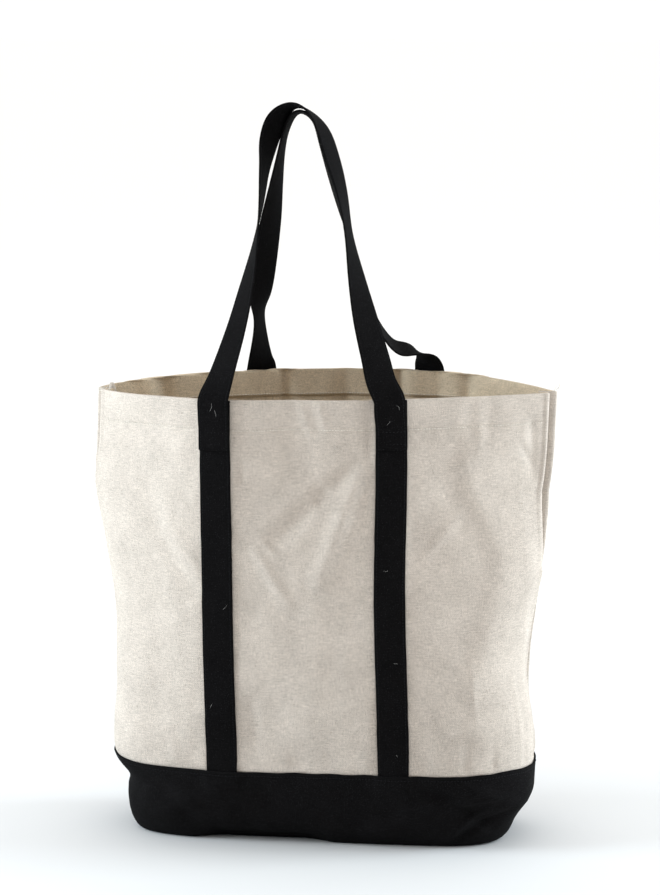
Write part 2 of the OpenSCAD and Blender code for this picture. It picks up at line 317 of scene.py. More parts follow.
def relief(p, half):
    """How far the cloth stands out from the smooth shell at each point of a panel."""
    x, y, z = np.moveaxis(p, -1, 0)
    seed = half.seed
    along = x - np.sign(x) * 0.6 * (np.abs(x) / 225) ** 6 * (80 + y)
    hang = smooth((z - BASE_H - 2) / 40) * (half.rim_slack + (1 - half.rim_slack)
                                        * smooth((RIM_H + 4 - z) / 50))
    off_seam = smooth((-y - 5) / 18)
    folds = sum(crease(x, z, *fold) for fold in half.creases)
    bends = sum(bend(x, z, *line) for line in half.bends) * smooth((z - BASE_H) / 60)
    broad = layers(seed + 2, along, z, PANEL_BROAD)
    fine = layers(seed + 4, along, z, PANEL_FINE)
    rim_wave = 0.4 * noise(seed + 6, along, z * 0.3, 12) * bump(z - half.row_z, 14)
    seam_pull = -0.5 * bump(z - half.row_z, 1.8)
    loose = (folds * off_seam + fine) * (1 - 0.65 * strap_cover(x, z))
    return (hang * (broad + loose + bends * off_seam) + puckers(x, y, z, seed) + rim_wave
            + seam_pull)


def settled(points):
    """Finished points after the bag has sagged: the left corner of its mouth is a little low,
    the middle of its back rim a little high, and its sides lean."""
    x, y, z = np.moveaxis(points, -1, 0)
    moved = points.copy()
    sag = CORNER_SAG * smooth((z - 300) / (RIM_H - 300)) * smooth((-x - 120) / 110)
    sag = sag * (1 - 0.8 * smooth((y + 2) / 14))
    arch = np.maximum(1 - (x / (MOUTH_W / 2)) ** 2, 0) * smooth(y / 25)
    rise = BACK_RISE * arch * smooth((z - FOLD_Z + 3) / (RIM_H - FOLD_Z + 3))
    step = STEP_IN * bump(z - STEP_Z, STEP_H) * smooth((-x - 110) / 80)
    moved[..., 0] += np.interp(z, *zip(*LEAN)) * smooth((np.abs(x) - 90) / 100) + step
    moved[..., 2] += rise - sag
    return moved


class Half:
    """One half of the bag. The back half is worked out like a front and turned at the end."""

    def __init__(self, name, creases, bends, rim_slack, hem_h, seed, flip):
        self.name, self.creases, self.bends = name, creases, bends
        self.rim_slack, self.seed, self.flip = rim_slack, seed, flip
        self.hem_low, self.row_z = RIM_H - hem_h, RIM_H - hem_h + 2

    def face(self, directions):
        return turned(directions) if self.flip else directions

    def place(self, points):
        return settled(self.face(points))

    def skin(self, s, z, d):
        """Point d outside the wrinkled panel, before place()."""
        p = shell(s, z)
        n = outward(s, z)
        return p + n * (d + relief(p, self)[..., None])

    def on_strap(self, centre, across, z, d):
        x = strap_x(centre, z) + across
        return self.skin(x / half_w(z), z, d)


FRONT = Half("front", FRONT_CREASES, FRONT_BENDS, 0.8, HEM_H, 11, False)
BACK = Half("back", BACK_CREASES, BACK_BENDS, 0.9, BACK_HEM_H, 47, True)


# Shares of the half width from side to side, close together at the sides
SHARES = np.sin(np.linspace(-math.pi / 2, math.pi / 2, 721))


# --- meshes ---


def mesh_object(name, vertices, faces, uvs=None):
    """A smooth shaded mesh from millimetre points. uvs holds one (u, v) per face corner."""
    mesh = bpy.data.meshes.new(name)
    mesh.from_pydata((np.asarray(vertices) * MM).tolist(), [], faces)
    if uvs is not None:
        layer = mesh.uv_layers.new(name="cloth")
        layer.data.foreach_set("uv", (np.asarray(uvs, np.float32) * MM).ravel())
    mesh.polygons.foreach_set("use_smooth", [True] * len(mesh.polygons))
    mesh.update()
    obj = bpy.data.objects.new(name, mesh)
    bpy.context.scene.collection.objects.link(obj)
    return obj


def grid_faces(rows, cols, closed):
    """Quads of a grid, and the grid places of their corners with the last column unwrapped."""
    i, j = np.meshgrid(np.arange(rows - 1), np.arange(cols if closed else cols - 1), indexing="ij")
    i, j = i.ravel(), j.ravel()
    k = (j + 1) % cols
    faces = np.stack([i * cols + j, i * cols + k, (i + 1) * cols + k, (i + 1) * cols + j], 1)
    wide = cols + 1 if closed else cols
    places = np.stack([i * wide + j, i * wide + j + 1, (i + 1) * wide + j + 1,
                       (i + 1) * wide + j], 1)
    return faces, places


def cloth_grid(across, along):
    """Places on the flat cloth for a grid, from those of its columns and of its rows."""
    return np.stack(np.broadcast_arrays(across[None, :], along[:, None]), -1)


def grid_object(name, points, cloth, closed=False):
    """points is rows x columns x 3, cloth is rows x columns x 2 in flat cloth millimetres,
    with one more column than points if the grid closes on itself."""
    rows, cols = points.shape[:2]
    faces, places = grid_faces(rows, cols, closed)
    uvs = cloth.reshape(-1, 2)[places.ravel()]
    return mesh_object(name, points.reshape(-1, 3), faces.tolist(), uvs)


def thicken(obj, edge_material=0):
    """Gives a sheet of canvas its thickness, on the side away from its face."""
    made = obj.modifiers.new("thickness", "SOLIDIFY")
    made.thickness = CANVAS_T * MM
    made.offset = -1
    made.material_offset = edge_material
    return obj


def bar_faces(rows, cols):
    """Faces of a bar with flat ends, made of rings of points."""
    ends = [list(range(cols))[::-1], list(range((rows - 1) * cols, rows * cols))]
    return grid_faces(rows, cols, True)[0].tolist() + ends


def bar_object(name, rings, around, along):
    """A closed bar from rings of points, with the cloth places round and along it."""
    rows, cols = rings.shape[:2]
    cloth = cloth_grid(around, along)
    uvs = np.concatenate([cloth.reshape(-1, 2)[grid_faces(rows, cols, True)[1].ravel()],
                          cloth[0, :cols][::-1], cloth[-1, :cols]])
    return mesh_object(name, rings.reshape(-1, 3), bar_faces(rows, cols), uvs)


def fold_over(outer, inner, radius, turns):
    """Rows over a folded top edge, from its outer row to its inner row."""
    rows = []
    for turn in turns:
        row = (outer + inner) / 2 + (outer - inner) / 2 * math.cos(turn)
        row[:, 2] += radius * math.sin(turn)
        rows.append(row)
    return rows


# --- panels ---

STRIP_COLS, MAIN_COLS, ROLL_POINTS = 5, 220, 14
FOLD_ROWS, HEM_ROWS = 6, 9
PANEL_CLOTH_W = 530
# How a panel's side edge rolls in to the seam, low on the bag and at the mouth on the left
# (-1) and the right (1): how far its tip is set in, how deep the seam lies behind the tip,
# and the seam's own depth
ROLL_LOW = (0.4, 2.6, -SEAM_GAP)
ROLL_MOUTH = {
    ("front", -1): (5.0, 5.0, -1.2), ("front", 1): (8.0, 7.0, -2.5),
    ("back", -1): (0.5, 7.0, -0.6), ("back", 1): (0.5, 10.0, -4.0),
}
ROLL_START = {-1: (345, 70), 1: (270, 90)}
EDGE_BEAD = 3.5


def roll_of(half, z, end):
    """Roll of a panel's left (-1) or right (1) end, as seen from that panel's own outside."""
    side = -end if half.flip else end
    low, reach = ROLL_START[side]
    share = smooth((z - low) / reach)
    mouth = np.array(ROLL_MOUTH[half.name, side])
    return np.array(ROLL_LOW) * (1 - share) + mouth * share, share


def seam_depths(half, z):
    return tuple(roll_of(half, z, end)[0][2] for end in (-1, 1))


def rolled_end(line, half, z, end):
    """Rolls the right-hand end of a line round and back in to the seam."""
    (inset, depth, seam_y), share = roll_of(half, z, end)
    tip = float(half_w(z)) - inset
    left = arc(line[::-1])[::-1]
    lead = 4 + 3 * share
    keep = (left > lead) & ((line[:, 0] < tip - 1.5 * lead / 2) | (share < 0.02))
    kept = line[: np.where(keep)[0][-1] + 1]
    q = kept[-1]
    along = unit(kept[-1] - kept[-3])
    seam = np.array([tip - depth, seam_y, z])
    reach = np.linalg.norm(np.array([tip, q[1] * 0.5, z]) - q)
    a = q + along * 0.8 * reach - np.array([0, EDGE_BEAD * share, 0])
    b = seam + np.array([1.33 * depth + 1.2, 0, 0])
    t = np.linspace(0, 1, ROLL_POINTS)[1:, None]
    curve = (1 - t) ** 3 * q + 3 * (1 - t) ** 2 * t * a + 3 * (1 - t) * t**2 * b + t**3 * seam
    return np.concatenate([kept, curve])


def rolled_line(half, z):
    line = rolled_end(half.skin(SHARES, z, 0), half, z, 1)
    mirror = np.array([-1, 1, 1])
    return rolled_end(line[::-1] * mirror, half, z, -1)[::-1] * mirror


def panel_heights(half):
    low, top = BASE_H - LAP_H, RIM_H - HEM_DEPTH / 2
    near_row = half.row_z + np.array([-2, -1, 0, 1, 2])
    near_seam = BASE_H + np.array([0.5, 1, 1.5, 2.5])
    even = np.linspace(low, top, 170)
    return np.unique(np.round(np.concatenate([even, near_row, near_seam, [top]]), 2))


def column_shares():
    """Places of the columns along a panel, closer together where its sides roll in."""
    even = np.linspace(-1, 1, MAIN_COLS + 1)
    return 0.5 + 0.5 * (even + 0.12 * np.sin(math.pi * even))


def outer_line(half, z):
    """The panel's outside at height z from side seam to side seam."""
    return resample(rolled_line(half, z), column_shares())


def with_strips(main, depths):
    """Adds the two seam allowances, which run inwards from the ends of the main line."""
    z = main[0, 2]
    share = np.linspace(0, 1, STRIP_COLS + 1)[:-1]
    parts = []
    for end, way, y in ((main[0], 1, depths[0]), (main[-1], -1, depths[1])):
        x = end[0] + way * ALLOWANCE_W * (1 - share)
        parts.append(np.stack([x, np.full(STRIP_COLS, y), np.full(STRIP_COLS, z)], 1))
    return np.concatenate([parts[0], main, parts[1][::-1]])


def outer_row(half, z):
    return with_strips(outer_line(half, z), seam_depths(half, z))


def inner_main(half, z, depth):
    """The panel's outside moved depth inwards, cut off where it meets the seam allowance."""
    main = outer_line(half, z)
    inside = main - to_right(main) * depth
    left_y, right_y = seam_depths(half, z)
    middle = MAIN_COLS // 2
    blocked = np.where(inside[:, 1] > np.where(inside[:, 0] < 0, left_y, right_y) - depth)[0]
    first = blocked[blocked < middle].max() + 1
    last = blocked[blocked > middle].min() - 1
    return resample(inside[first:last + 1], np.linspace(0, 1, MAIN_COLS + 1))


def inner_row(half, z):
    """The hem's inside face at height z, with the seam allowances folded down with it."""
    inside = inner_main(half, z, HEM_DEPTH)
    depths = [y - HEM_DEPTH for y in seam_depths(half, z)]
    inside[:, 1] = np.minimum(inside[:, 1], np.where(inside[:, 0] < 0, *depths))
    return with_strips(inside, depths)


def panel_rows(half):
    """Rows of a panel from its foot over the rim to the hem's lower edge, how far each lies
    along the cloth, and the number of the rows outside."""
    heights = panel_heights(half)
    top, radius = heights[-1], HEM_DEPTH / 2
    hem = np.linspace(top, half.hem_low, HEM_ROWS + 1)[1:]
    outside = [outer_row(half, z) for z in heights]
    turns = np.linspace(0, math.pi, FOLD_ROWS + 2)[1:]
    fold = fold_over(outside[-1], inner_row(half, top), radius, turns)
    inside = [inner_row(half, z) for z in hem]
    length = np.concatenate([heights, top + radius * turns, top + radius * math.pi + top - hem])
    return np.array(outside + fold + inside), length - heights[0], len(outside)


def panel(half):
    rows, length, outside = panel_rows(half)
    strip = np.linspace(0, ALLOWANCE_W, STRIP_COLS + 1)
    across = np.concatenate([strip[:-1] - ALLOWANCE_W, PANEL_CLOTH_W * column_shares(),
                             PANEL_CLOTH_W + strip[1:]])
    obj = grid_object(f"{half.name}_canvas", half.place(rows), cloth_grid(across, length))
    row_of = np.repeat(np.arange(rows.shape[0] - 1), rows.shape[1] - 1)
    # The inside rows of the hem take the second slot: the same canvas with its colour painted brighter
    # and yellower, as painted light for the warm light inside the bag
    inside_painted_light = (row_of >= outside + FOLD_ROWS // 2).astype(int)
    obj.data.polygons.foreach_set("material_index", inside_painted_light)
    thicken(obj, edge_material=1)
    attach(obj, "bag")
    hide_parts(f"{half.name}_panel")
    return obj


# --- base ---

RING_COLS, RING_CLOTH = 176, 1150
FLOOR_GAP = 0.3
FLOOR_SHARES = (0.02, 0.25, 0.5, 0.75, 0.92, 0.98)
# The base is cut in at its lower left end and its right front corner, and the middle of its
# front edge is tucked under
LEFT_CUT, RIGHT_CUT = 5, 13
TUCK_IN, TUCK_UP = 9, 3
BASE_CREASES = (
    (-180, 64, -120, 20, 8, -2.6), (-160, 30, -90, 62, 9, 2), (-70, 70, -20, 30, 10, -2),
    (60, 18, 150, 52, 9, 3.6), (120, 60, 180, 26, 7, -5.5), (105, 44, 200, 62, 4, 4.4),
    (150, 70, 196, 44, 7, 4), (150, 12, 190, 36, 5, -4.4), (132, 8, 166, 40, 4, 3.4),
    (30, 62, 80, 40, 10, -2), (-40, 14, 70, 16, 9, 2.4),
)


def base_relief(p, seed):
    x, y, z = np.moveaxis(p, -1, 0)
    round_edge = smooth(z / 14)
    folds = sum(crease(x, z, *fold) for fold in BASE_CREASES) * smooth((-y - 20) / 25)
    broad = 1.6 * noise(seed, x + y, z, 42) + 0.8 * noise(seed + 1, x - y, z, 20)
    fine = 0.25 * noise(seed + 2, x, z + y, 9)
    edge = smooth((BASE_H + 2 - z) / 22)
    under = strap_cover(x, z) * between(z, BASE_H - 14, BASE_H + 4, 10) * smooth((-y - 40) / 10)
    row = -0.45 * bump(z - (BASE_H - BASE_ROW_DROP), 1.5) * smooth((-y - 8) / 6)
    side = -1.2 * bump(y + SEAM_GAP, 1.6) * smooth(z / 10)
    return round_edge * edge * (folds + broad + fine) + 1.9 * under + row + side


def seam_height(x, y):
    """The base's top edge isn't quite level."""
    return 1.6 * noise(5, x, y, 70) + 0.5 * noise(6, x + y, y, 18)


def base_row(z, d):
    """One ring round the base at height z, d outside the smooth shell."""
    halves = []
    for flip, seed in ((False, 71), (True, 93)):
        p = shell(SHARES, z)
        line = p + outward(SHARES, z) * (d + base_relief(p, seed)[..., None])
        line = resample(line, np.linspace(0, 1, RING_COLS + 1))[:-1]
        halves.append(turned(line) if flip else line)
    ring = np.concatenate(halves)
    x, y = ring[:, 0].copy(), ring[:, 1]
    ring[:, 2] = z + seam_height(x, y) * smooth((z - 30) / 50)
    left, right = smooth((-x - 110) / 80), smooth((x - 110) / 80)
    ring[:, 0] += LEFT_CUT * left * smooth((45 - z) / 40)
    tucked = between(x, -95, -15, 35) * smooth(-y / 20)
    ring[:, 1] += TUCK_IN * tucked * smooth((26 - z) / 22)
    ring[:, 2] += TUCK_UP * tucked * smooth((14 - z) / 14)
    ring[:, 0] -= RIGHT_CUT * right * smooth((56 - z) / 38) * smooth((70 - y) / 60)
    return settled(ring)


def base():
    foot = base_row(0, BASE_SKIN)
    wall = BASE_H * np.linspace(0, 1, 44)[:-1] ** 1.6
    near_row = BASE_H - BASE_ROW_DROP + np.array([-2, -1, 0, 1, 2])
    wall = np.unique(np.round(np.concatenate([wall, near_row]), 2))
    rows = [foot * [share, share, 0] + [0, 0, FLOOR_GAP] for share in FLOOR_SHARES]
    rows += [base_row(z, BASE_SKIN) for z in wall]
    top, radius, turns = BASE_H - 0.9, (BASE_SKIN - BASE_LINING) / 2, np.linspace(0, math.pi, 7)
    rows += fold_over(base_row(top, BASE_SKIN), base_row(top, BASE_LINING), radius, turns)
    inside = np.linspace(top, BASE_H - LAP_H, 4)[1:]
    rows += [base_row(z, BASE_LINING) for z in inside]
    points = np.array(rows)
    length = np.concatenate([0 * np.array(FLOOR_SHARES), wall, BASE_H + radius * turns,
                             2 * BASE_H - inside + 3])
    cloth = cloth_grid(np.linspace(0, RING_CLOTH, 2 * RING_COLS + 1), length).copy()
    bottom = slice(0, len(FLOOR_SHARES) + 1)
    cloth[bottom] = np.concatenate([points[bottom], points[bottom, :1]], 1)[..., :2]
    obj = thicken(grid_object("base_canvas", points, cloth, closed=True))
    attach(obj, "bag")
    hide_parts("base_panel")
    return obj


# --- straps ---

STRAP_COLS, HANDLE_STEP = 18, 2.6


def strap_profile():
    """Section of a folded strap: flat faces, round edges and a dip along each stitched row.
    Gives its (across, up) points and the place of each on the flat cloth."""
    half, thick = STRAP_W / 2, STRAP_T / 2
    across = np.linspace(-half + thick, half - thick, STRAP_COLS)
    dip = 0.22 * bump(np.abs(across) - (half - STITCH_INSET), 0.9)
    crown = 0.18 * (1 - (across / half) ** 2)
    turn = np.linspace(math.pi / 2, -math.pi / 2, 6)[1:-1]
    edge = np.stack([half - thick + thick * np.cos(turn), thick * np.sin(turn)], 1)
    top = np.stack([across, thick - dip + crown], 1)
    low = np.stack([across, dip - thick + crown * 0.4], 1)[::-1]
    place = np.concatenate([across, np.full(4, half), across[::-1] + STRAP_W + 4,
                            np.full(4, 2 * STRAP_W + 6)])
    return np.concatenate([top, edge, low, -edge]), place


def strap_bar(name, centres, wides, ups):
    """A strap along a line, from the directions of its width and of its outer face."""
    profile, place = strap_profile()
    rings = (centres[:, None] + profile[None, :, :1] * wides[:, None]
             + profile[None, :, 1:] * ups[:, None])
    return bar_object(name, rings, np.append(place, place[0]), arc(centres))


def band_frames(half, centre, heights):
    """Middle line, width direction and outward direction of a strap on the panel."""
    left, mid, right = (half.on_strap(centre, across, heights, BAND_MID)
                        for across in (-STRAP_W / 2, 0, STRAP_W / 2))
    wide = unit(right - left)
    up = unit(np.cross(wide, unit(np.gradient(mid, axis=0))))
    return half.place((mid * 2 + left + right) / 4), half.face(wide), half.face(up)


def band(half, centre, place):
    heights = np.linspace(BASE_H - LAP_H + 1, RIM_H - 0.6, 150)
    mid, wide, up = band_frames(half, centre, heights)
    wobble = 1 + 0.012 * noise(half.seed + 20, heights, heights * 0, 14)
    obj = strap_bar(f"{place}_strap", mid, wide * wobble[:, None], up)
    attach(obj, "bag")
    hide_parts(f"{place}_band")
    return obj


# Routes of the free parts of the handles above the rim: x, y, z above the rim, the direction
# of the strap's width and how far it is rolled about its own length, in degrees
FRONT_FREE = (
    (-90, -93, 24, -31, 0), (-78, -77, 68, -46, 0), (-70, -61, 108, -58, 0),
    (-64, -46, 147, -74, 0), (-60, -32, 186, -88, 0), (-58, -20, 222, -96, 4),
    (-54.4, -12, 249, -106, 13), (-46, -8, 270.5, -107, 18), (-31, -6, 283, -92, 12),
    (-15, -6, 277, -91, 4), (-1, -8, 259, -104, 0), (9, -13, 232, -108, 0),
    (19, -21, 200, -101, 0), (28, -34, 159, -95, 0), (38, -46, 114, -114, 0),
    (48, -57, 75, -134, 0), (59, -67, 38, -147, 0), (65, -73, 17, -155, 0),
)
BACK_FREE = (
    (-77, 71, 14, 40, 0), (-77, 66, 38, 68, 0), (-76, 59, 66, 80, 0), (-74, 54, 88, 54, 0),
    (-70, 48, 115, 44, 0), (-61, 37, 162, 56, 0), (-54, 27, 200, 73, 0), (-47.6, 18, 232, 85, 0),
    (-41.5, 12, 255, 88, 0), (-33, 9.5, 273, 92, 6), (-23, 9, 276, 94, 8), (-12, 10, 266, 97, 5),
    (-6, 12, 243, 100, 0), (3, 22, 209, 104, 0), (12, 34, 176, 106, 0), (20, 47, 146, 110, -6),
    (32, 62, 99, 116, -16), (45, 72, 58, 122, -26), (62, 80, 33, 120, -26),
    (80, 86, 29, 118, -16), (93, 91, 21, 150, -4),
)


def stub(half, centre, z, half_turn, depth, shift=0):
    """Route point of a handle that lies on its band, moved by shift once it is above its fold."""
    x = strap_x(centre, z) + shift * float(smooth((z - FOLD_Z) / 16))
    s = x / half_w(z)
    p = half.place(half.skin(s, z, depth))
    n = outward(s, z)
    return (p[0], p[1], p[2] - RIM_H, math.degrees(math.atan2(n[0], -n[1])) + half_turn, 0)


def leg(half, centre, half_turn, shift):
    """Route points of one end of a handle, from its sewn end up to the rim."""
    levels = ((FOLD_Z - SEWN_L, SEWN_MID), (FOLD_Z - 11, SEWN_MID), (FOLD_Z - 1, SEWN_MID),
              (FOLD_Z + 9, HANDLE_MID - 0.5), (RIM_H - 8, HANDLE_MID - 0.4), (RIM_H, HANDLE_MID))
    return [stub(half, centre, z, half_turn, depth, shift) for z, depth in levels]


def curve_at(r, i, t):
    n = len(r) - 1
    a, b, c, d = r[max(i - 1, 0)], r[i], r[i + 1], r[min(i + 2, n)]
    return 0.5 * (2 * b + (c - a) * t + (2 * a - 5 * b + 4 * c - d) * t * t
                  + (3 * b - a - 3 * c + d) * t ** 3)


def handle_frames(route):
    """Evenly spaced middle line, width direction and outward direction of a handle."""
    r = np.array(route)
    steps = np.linspace(0, 1, 12)[:-1]
    dense = np.array([curve_at(r, i, t) for i in range(len(r) - 1) for t in steps] + [r[-1]])
    length = arc(dense[:, :3])
    c = sample(length, dense, np.linspace(0, length[-1], int(length[-1] / HANDLE_STEP)))
    for _ in range(3):
        c[1:-1] = 0.5 * c[1:-1] + 0.25 * (c[:-2] + c[2:])
    mid = c[:, :3] + [0, 0, RIM_H]
    turn = np.radians(c[:, 3])
    flat = np.stack([np.cos(turn), np.sin(turn), 0 * turn], 1)
    along = unit(np.gradient(mid, axis=0))
    wide = unit(flat - (flat * along).sum(1)[:, None] * along)
    up = -np.cross(along, wide)
    roll = np.radians(c[:, 4:])
    return mid, wide * np.cos(roll) + up * np.sin(roll), up * np.cos(roll) - wide * np.sin(roll)


def hinge_blend(half, obj):
    """Bakes the placement of a handle's piece into its mesh; the fold point it works out is not used.
    """
    fold = half.place(shell(0.0, FOLD_Z)) * MM
    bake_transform(obj)


def handle(half, route, body):
    obj = strap_bar(f"{half.name}_handle_strap", *handle_frames(route))
    hinge_blend(half, obj)
    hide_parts(body, f"{body}_sewn_ends")
    return obj


def handle_stitches(half, route, body):
    rows = strap_rows(*handle_frames(route), (1, -1))
    obj = stitches(f"{half.name}_handle_stitches", rows, f"{body}_stitching", half.seed + 3)
    hinge_blend(half, obj)
    return obj


# --- stitching ---

STITCH_SHARE, STITCH_R, STITCH_SIDES = 0.74, 0.34, 6
HEM_PITCH, HEM_STITCH_R = 2.8, 0.45


def stitch_shape():
    """One stitch of length 1 along x and radius 1, sunk at its ends, with its faces."""
    rings = [(-0.42, 0.7, -0.5), (-0.2, 1.0, 0.25), (0.2, 1.0, 0.25), (0.42, 0.7, -0.5)]
    turn = np.linspace(0, 2 * math.pi, STITCH_SIDES, endpoint=False)
    points = [(x, r * math.cos(t), lift + r * math.sin(t)) for x, r, lift in rings for t in turn]
    points += [(-0.5, 0, -1.6), (0.5, 0, -1.6)]
    faces = []
    n, last = STITCH_SIDES, (len(rings) - 1) * STITCH_SIDES
    for k in range(n):
        m = (k + 1) % n
        faces += [(j + k, j + n + k, j + n + m, j + m) for j in range(0, last, n)]
        faces += [(k, m, len(points) - 2), (last + m, last + k, len(points) - 1)]
    return np.array(points), faces


def stitch_row(path, lifts, pitch=STITCH_PITCH):
    """Centres, directions, lifts and lengths of the stitches along a line of points."""
    length = arc(path)
    count = max(2, int(length[-1] / pitch))
    where, step = (np.arange(count) + 0.5) * length[-1] / count, 0.4 * pitch
    along = unit(sample(length, path, where + step) - sample(length, path, where - step))
    return (sample(length, path, where), along, unit(sample(length, lifts, where)),
            np.full(count, pitch * STITCH_SHARE))


def stitches(name, rows, node, seed, radius=STITCH_R):
    """One mesh of all the stitches in these rows, a little uneven as sewn ones are."""
    middle, along, up, size = (np.concatenate(part) for part in zip(*rows))
    side = unit(np.cross(up, along))
    up = np.cross(along, side)
    shape, faces = stitch_shape()
    random = np.random.default_rng(seed)
    count = len(middle)
    size = size * random.uniform(0.88, 1.08, count)
    slip = random.uniform(-0.14, 0.14, count)
    points = (middle[:, None] + shape[None, :, :1] * (along * size[:, None])[:, None]
              + (shape[None, :, 1:2] * radius + slip[:, None, None]) * side[:, None]
              + shape[None, :, 2:] * radius * up[:, None])
    per = len(shape)
    many = [tuple(i * per + k for k in face) for i in range(count) for face in faces]
    obj = mesh_object(name, points.reshape(-1, 3), many)
    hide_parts(node)
    return obj


def turned_row(half, path, lifts, pitch=STITCH_PITCH):
    """A row worked out on a half, put in its place."""
    return stitch_row(half.place(path), half.face(lifts), pitch)


def hem_stitches(half):
    """The row that holds the hem, outside between the straps and inside all the way."""
    edge = STRAP_W / 2 + 0.8
    left, right = (strap_x(c, half.row_z) for c in (STRAP_LEFT_X, STRAP_RIGHT_X))
    end = float(half_w(half.row_z)) - 14
    rows = []
    for low, high in ((-end, left - edge), (left + edge, right - edge), (right + edge, end)):
        x = np.linspace(low, high, 120)
        sag = half.row_z + 0.5 * noise(half.seed + 30, x, x * 0, 60)
        share = x / half_w(sag)
        rows.append(turned_row(half, half.skin(share, sag, 0.25), outward(share, sag), HEM_PITCH))
    inside = inner_main(half, half.row_z, HEM_DEPTH + 0.1)[6:-6]
    rows.append(turned_row(half, inside, -to_right(inside), HEM_PITCH))
    return stitches(f"{half.name}_hem_stitches", rows, f"{half.name}_hem_stitching", half.seed,
                    HEM_STITCH_R)


def strap_rows(mid, wide, up, faces):
    """Rows along both edges of a strap, on the faces given as 1 (outer) and -1 (inner)."""
    inset = STRAP_W / 2 - STITCH_INSET
    return [stitch_row(mid + side * inset * wide + face * (STRAP_T / 2 - 0.12) * up, face * up, 2.9)
            for side in (-1, 1) for face in faces]


def band_stitches(half):
    heights = np.linspace(BASE_H + 3, FOLD_Z - SEWN_L - 1, 130)
    rows = []
    for centre in (STRAP_LEFT_X, STRAP_RIGHT_X):
        rows += strap_rows(*band_frames(half, centre, heights), (1,))
    return stitches(f"{half.name}_strap_stitches", rows, f"{half.name}_band_stitching",
                    half.seed + 1)


def tack_stitches(half):
    """Two rows across each sewn end of the handle."""
    rows = []
    depth = SEWN_MID + STRAP_T / 2 + 0.02
    for centre in (STRAP_LEFT_X, STRAP_RIGHT_X):
        for z in TACK_ROWS:
            across = np.linspace(-STRAP_W / 2 + 2, STRAP_W / 2 - 2, 20)
            lift = outward((strap_x(centre, z) + across) / half_w(z), z)
            rows.append(turned_row(half, half.on_strap(centre, across, z, depth), lift))
    return stitches(f"{half.name}_tack_stitches", rows, f"{half.name}_tack_stitching",
                    half.seed + 2)


def base_stitches():
    """The row just below the base's top edge, all the way round."""
    ring = base_row(BASE_H - BASE_ROW_DROP, BASE_SKIN + 0.1)
    ring = np.concatenate([ring, ring[:1]])
    rows = [stitch_row(ring, to_right(ring))]
    return stitches("base_seam_stitches", rows, "base_seam_stitching", 5)


def corner_stitches():
    """The boxed corners' rows on the inside of the bottom."""
    reach = np.linspace(-BASE_D / 2 + 14, BASE_D / 2 - 14, 30)
    rows = []
    for side in (-1, 1):
        path = np.stack([side * (BASE_W / 2 - 8) + 0 * reach, reach, 0 * reach + 1.2], 1)
        rows.append(stitch_row(path, np.broadcast_to([0.0, 0.0, 1.0], path.shape)))
    return stitches("base_corner_stitches", rows, "base_corner_stitching", 6)


# --- side bindings ---

TAPE_T, TAPE_W, TAPE_TOP = 0.6, 7.5, RIM_H - HEM_H - 1


def tape_edges(z, side):
    """The raw edge of the seam allowances, and their lowest and highest y, at height z."""
    front, back = roll_of(FRONT, z, side)[0], roll_of(BACK, z, -side)[0]
    edge = float(half_w(z)) - max(front[0] + front[1], back[0] + back[1]) - ALLOWANCE_W
    return edge, front[2] - CANVAS_T - 0.15, -back[2] + CANVAS_T + 0.15


def tape_ring(z, side):
    """Section of the tape folded over the allowances on the side where x has this sign."""
    edge, low, high = tape_edges(z, side)
    middle, reach = (low + high) / 2, (high - low) / 2
    turn = np.linspace(-math.pi / 2, math.pi / 2, 7)
    end = edge + TAPE_W + 0.5 * float(noise(31 + side, z, 0, 13))
    outer, inner = (np.stack([edge + 0.6 - r * np.cos(turn), middle + r * np.sin(turn)], 1)
                    for r in (reach + TAPE_T, reach))
    ring = np.concatenate([[[end, low - TAPE_T]], outer, [[end, high + TAPE_T], [end, high]],
                           inner[::-1], [[end, low]]])
    ring = np.column_stack([side * ring[:, 0], ring[:, 1], np.full(len(ring), z)])
    return ring if side > 0 else ring[::-1]


def tape_strip(name, side, heights, taper=0):
    """Tape folded over the seam allowances at these heights, narrower towards its top."""
    rings = np.array([tape_ring(z, side) for z in heights])
    middle = rings[..., :1].mean(1, keepdims=True)
    share = taper * np.linspace(0, 1, len(heights))[:, None, None] ** 2
    rings[..., :1] += (middle + side * TAPE_W / 2 - rings[..., :1]) * share
    rings = settled(rings)
    around = arc(np.concatenate([rings[0], rings[0, :1]]))
    obj = bar_object(name, rings, around, heights)
    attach(obj, "bag")
    return obj


def binding(side, name):
    obj = tape_strip(f"{name}_tape", side, np.linspace(BASE_H + 2, TAPE_TOP, 120))
    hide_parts(f"{name}_binding")
    return obj


def side_stitches(side, name):
    """The rows that hold the tape, one on each face of the seam allowances."""
    heights = np.linspace(BASE_H + 6, TAPE_TOP - 4, 110)
    edges = np.array([tape_edges(z, side) for z in heights])
    rows = []
    for y, way in ((edges[:, 1] - TAPE_T, -1), (edges[:, 2] + TAPE_T, 1)):
        path = np.stack([side * (edges[:, 0] + 4.5), y, heights], 1)
        rows.append(stitch_row(settled(path), np.broadcast_to([0.0, way, 0.0], path.shape)))
    return stitches(f"{name}_stitches", rows, f"{name}_stitching", 40 + side)


# --- loose threads and lint ---


def hair(start, way, lift, length, curl, radius):
    """Rings of a fine hair that starts at a point and curls as it goes along way."""
    side = unit(np.cross(lift, way))
    t = np.linspace(0, 1, 9)[:, None]
    path = start + length * t * way + length * curl * np.sin(2.4 * t) * side + 0.35 * lift
    along = unit(np.gradient(path, axis=0))
    across = unit(np.cross(along, lift))
    up = np.cross(across, along)
    turn = np.linspace(0, 2 * math.pi, 5, endpoint=False)
    girth = radius * (1 - 0.6 * (2 * t - 1) ** 2)[:, :, None]
    return (path[:, None] + girth * (np.cos(turn)[None, :, None] * across[:, None]
                                     + np.sin(turn)[None, :, None] * up[:, None]))


